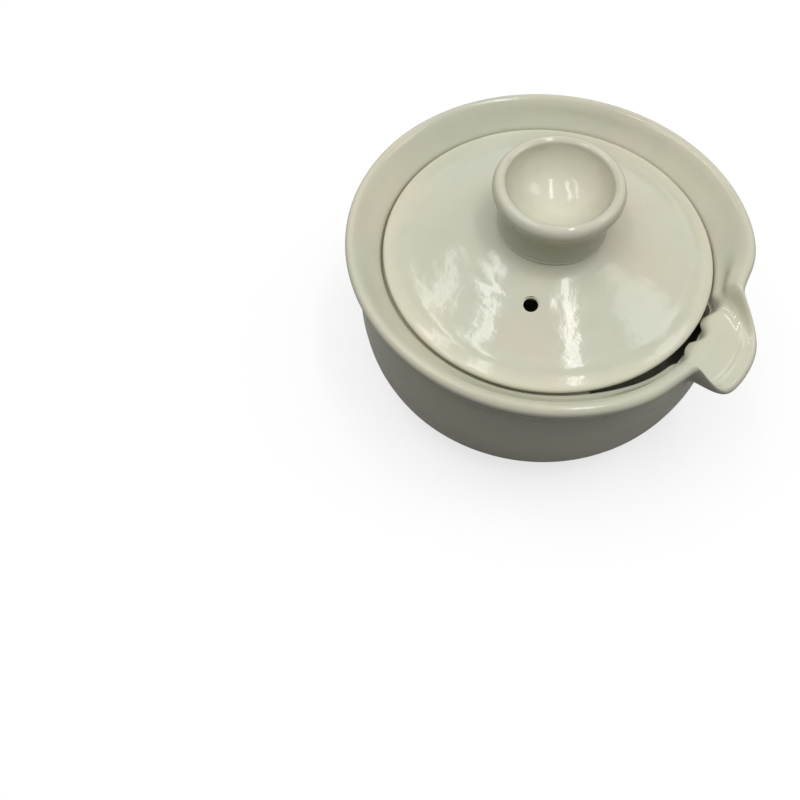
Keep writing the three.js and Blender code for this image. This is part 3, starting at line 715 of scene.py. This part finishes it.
vent_line = np.vstack([[[VENT_RADIUS + vent_widening, -VENT_TOOL_BELOW]],
                       arc((VENT_RADIUS + VENT_ROUNDING, -VENT_ROUNDING), VENT_ROUNDING, 180, 90, 6),
                       [[VENT_RADIUS + VENT_ROUNDING, VENT_TOOL_ABOVE]]])
cut_with(lid, [turned_tool("Vent tool", vent_line, vent_foot + [AXIS_X, 0, 0], vent_way, lid_glaze)])
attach(lid, "lid")
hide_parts("lid")

# Knob
# The knob is a small cup with a rolled lip, thrown off the hump and luted to the lid with slip, which
# shows as a thin raised bead all round its base.
KNOB_NECK_RADIUS = 12.0
KNOB_NECK_HEIGHT = 4.6
KNOB_RADIUS = 14.6
KNOB_HEIGHT = 13.2
KNOB_LIP_WIDTH = 1.7  # from the outermost edge in to the crest
KNOB_LIP_DROP = 2.7  # from the crest down to the outermost edge
KNOB_LIP_ROUNDING = 0.29  # the lip's round passes this share of its width in and of its drop down
HOLLOW_RADIUS = 11.9
HOLLOW_DEPTH = 8.5
BEAD_RADIUS = 0.25
BEAD_INSET = 0.3
KNOB_WALL_START = 0.8  # height at which the wall leaves the bead

knob_top = LANDING_Z + KNOB_HEIGHT
knob_lip_z = knob_top - KNOB_LIP_DROP
hollow_top = knob_top - KNOB_LIP_WIDTH / 3
ball = (HOLLOW_RADIUS ** 2 + HOLLOW_DEPTH ** 2) / (2 * HOLLOW_DEPTH)
hollow_edge = math.degrees(math.atan2(HOLLOW_DEPTH - ball, HOLLOW_RADIUS))


def knob_spacing(radius, z):
    """Rows of the knob lie closest on the bead, and widest on the hidden base."""
    return np.where(z < LANDING_Z + 1, np.where(radius > 12, 0.12, 1.0), 0.26)


knob_line = glazed_line([
    np.array([[0, LANDING_Z], [KNOB_BASE_RADIUS - BEAD_INSET, LANDING_Z]]),
    arc((KNOB_BASE_RADIUS, LANDING_Z + BEAD_RADIUS), BEAD_RADIUS, -90, 100),
    ribbed_line([(KNOB_BASE_RADIUS, LANDING_Z + KNOB_WALL_START),
                 (KNOB_NECK_RADIUS, LANDING_Z + KNOB_NECK_HEIGHT),
                 ((KNOB_NECK_RADIUS + KNOB_RADIUS) / 2, (LANDING_Z + KNOB_NECK_HEIGHT + knob_lip_z) / 2),
                 (KNOB_RADIUS, knob_lip_z),
                 (KNOB_RADIUS - KNOB_LIP_WIDTH * KNOB_LIP_ROUNDING,
                  knob_top - KNOB_LIP_DROP * KNOB_LIP_ROUNDING),
                 (KNOB_RADIUS - KNOB_LIP_WIDTH, knob_top)]),
    arc((0, hollow_top - HOLLOW_DEPTH + ball), ball, hollow_edge, -90, 80),
], 0.16, knob_spacing)
knob_glaze = ivory_glaze("ivory gloss glaze on the knob", "#C7C5B1", "#C0C3B0", "#C8C2AF",
                         thin_from=12.6, thin_to=14.4, thin_height=58)
knob_high = knob_line[:, 1]
knob = throw("Knob", knob_line, eased(knob_high, LANDING_Z + 1, LANDING_Z + 3), 0 * knob_high,
             {"Clay": knob_glaze, "Columns": 240, "Column Spread": 1.0, "Ring Depth": 0.06 * MM,
              "Ring Pitch": 3.0 * MM, "Waver": 0.1 * MM, "Seed": 23.9})
set_points(knob.data, points_of(knob.data) + [AXIS_X, 0, 0])
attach(knob, "lid")
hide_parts("lid_knob")

# Table
# A plain table top in matt white paint: an even white to the eye, with a mottle that hardly shows. The pot
# mirrors it as a pale grey, which is painted shade: the table takes that grey only where reflections see
# it.
# Bounced light sees it darker still, also painted shade, so that the pot gets little light back from it
# and walls are darker than tops.
TABLE_REACH = 3.0  # metres to each side
TABLE_WHITE, TABLE_MOTTLE = "#F7F7F6", "#FBFBFA"
# Painted shade: the grey that the pot mirrors in place of the white table, and the dark tone that bounced
# light sees
TABLE_MIRRORED_SHADE = "#ABAAA6"
TABLE_THROWN_BACK_SHADE = "#504E4A"
TABLE_MOTTLE_SIZE = 2.5
TABLE_GLOW = 0.72  # share of plain white mixed into what the camera sees
table_top = bpy.data.meshes.new("Table top")
table_top.from_pydata([(-TABLE_REACH, -TABLE_REACH, 0), (TABLE_REACH, -TABLE_REACH, 0),
                       (TABLE_REACH, TABLE_REACH, 0), (-TABLE_REACH, TABLE_REACH, 0)], [], [(0, 1, 2, 3)])
table = bpy.data.objects.new("Table top", table_top)
bpy.context.scene.collection.objects.link(table)
table_paint = bpy.data.materials.new("matt white table paint")
table_paint.use_nodes = True
tree = table_paint.node_tree
tree.nodes.clear()
ray = add(tree, "ShaderNodeLightPath")
mottle = add(tree, "ShaderNodeTexCoord")["Object"]
mottle = add(tree, "ShaderNodeTexNoise", {"Vector": mottle, "Scale": 1 / (TABLE_MOTTLE_SIZE * MM)})[0]
white = add(tree, "ShaderNodeMix", {0: mottle, 6: paint(TABLE_WHITE), 7: paint(TABLE_MOTTLE)},
            data_type="RGBA")[2]
# Painted shade: reflections see the table as a grey and bounced light sees it dark, while the camera sees
# it white
tone = add(tree, "ShaderNodeMix", {0: ray["Is Glossy Ray"], 6: paint(TABLE_THROWN_BACK_SHADE),
                                   7: paint(TABLE_MIRRORED_SHADE)}, data_type="RGBA")[2]
tone = add(tree, "ShaderNodeMix", {0: ray["Is Camera Ray"], 6: tone, 7: white}, data_type="RGBA")[2]
painted = add(tree, "ShaderNodeBsdfPrincipled", {"Base Color": tone, "Roughness": 0.9})[0]
glow = add(tree, "ShaderNodeEmission", {"Color": (1, 1, 1, 1), "Strength": 1.0})[0]
share = add(tree, "ShaderNodeMath", {0: ray["Is Camera Ray"], 1: TABLE_GLOW}, operation="MULTIPLY")[0]
surface = add(tree, "ShaderNodeMixShader", {0: share, 1: painted, 2: glow})[0]
add(tree, "ShaderNodeOutputMaterial", {"Surface": surface})
table_top.materials.append(table_paint)

# Light
# A pale room, lit mostly from above by a bright ceiling. Three lamp tubes hang under the ceiling and one
# soft square lamp stands to the side. Places and sizes of the lamps are in metres.
CEILING_NARROWNESS = 6.0  # more gathers the light straight above
CEILING_LIGHT = 2.85
WALLS_MIRRORED = 1.0
TUBE_WAY = (-0.68, 0.74, 0)
room = bpy.data.worlds.new("Pale room")
bpy.context.scene.world = room
room.use_nodes = True
tree = room.node_tree
tree.nodes.clear()
ray = add(tree, "ShaderNodeLightPath")
seen = add(tree, "ShaderNodeMath", {0: ray["Is Camera Ray"], 1: ray["Is Glossy Ray"]},
           operation="MAXIMUM")[0]
seen = add(tree, "ShaderNodeMath", {0: seen, 1: ray["Is Transmission Ray"]}, operation="MAXIMUM")[0]
up = add(tree, "ShaderNodeTexCoord")["Generated"]
up = add(tree, "ShaderNodeSeparateXYZ", {0: up})[2]
up = add(tree, "ShaderNodeMapRange", {"Value": up})[0]
ceiling = add(tree, "ShaderNodeMath", {0: up, 1: CEILING_NARROWNESS}, operation="POWER")[0]
ceiling = add(tree, "ShaderNodeMath", {0: ceiling, 1: CEILING_LIGHT}, operation="MULTIPLY")[0]
strength = add(tree, "ShaderNodeMix", {0: seen, 2: ceiling, 3: WALLS_MIRRORED}, data_type="FLOAT")[0]
background = add(tree, "ShaderNodeBackground", {"Color": (1, 1, 1, 1), "Strength": strength})[0]
add(tree, "ShaderNodeOutputWorld", {"Surface": background})

for lamp_name, spot, aim, size, power in (
        ("Tube over the pot", (0.37, 0.16, 1.6), (0.37, 0.16, 0), (0.95, 0.13), 4.2),
        ("Tube to the left", (-0.48, -0.24, 1.6), (-0.48, -0.24, 0), (1.1, 0.13), 3.4),
        ("Tube far left", (-0.95, -0.42, 1.6), (-0.95, -0.42, 0), (1.6, 0.15), 4.2),
        ("Soft lamp to the side", (0.757, 0.757, 1.19), (0, 0, 0.04), (0.5, 0.5), 1.9)):
    lamp_data = bpy.data.lights.new(lamp_name, "AREA")
    lamp_data.shape = "RECTANGLE"
    lamp_data.size, lamp_data.size_y = size
    lamp_data.energy = power
    lamp = bpy.data.objects.new(lamp_name, lamp_data)
    backward = (Vector(spot) - Vector(aim)).normalized()
    length = Vector(TUBE_WAY).normalized()
    length = (length - backward * length.dot(backward)).normalized()
    lamp.matrix_world = Matrix([length, backward.cross(length), backward]).transposed().to_4x4()
    lamp.location = spot
    bpy.context.scene.collection.objects.link(lamp)

# Camera
# A camera held close over the near side of the pot, which looks steeply down at the lid. Its place is in
# millimetres.
CAMERA_PLACE = (47.5226, -115.7561, 191.4862)
CAMERA_TURN = 40.5985  # round the upright axis
CAMERA_TIP = 27.8843  # up from straight down
CAMERA_ROLL = -2.8548
camera_data = bpy.data.cameras.new("Camera")
camera_data.lens, camera_data.sensor_width = 36, 36
camera_data.clip_start, camera_data.clip_end = 0.01, 20
camera = bpy.data.objects.new("Camera", camera_data)
camera.matrix_world = (Matrix.Translation(Vector(CAMERA_PLACE) * MM)
                       @ Matrix.Rotation(math.radians(CAMERA_TURN), 4, "Z")
                       @ Matrix.Rotation(math.radians(CAMERA_TIP), 4, "X")
                       @ Matrix.Rotation(math.radians(CAMERA_ROLL), 4, "Z"))
bpy.context.scene.collection.objects.link(camera)
bpy.context.scene.camera = camera
bpy.context.scene.view_settings.view_transform = "Standard"
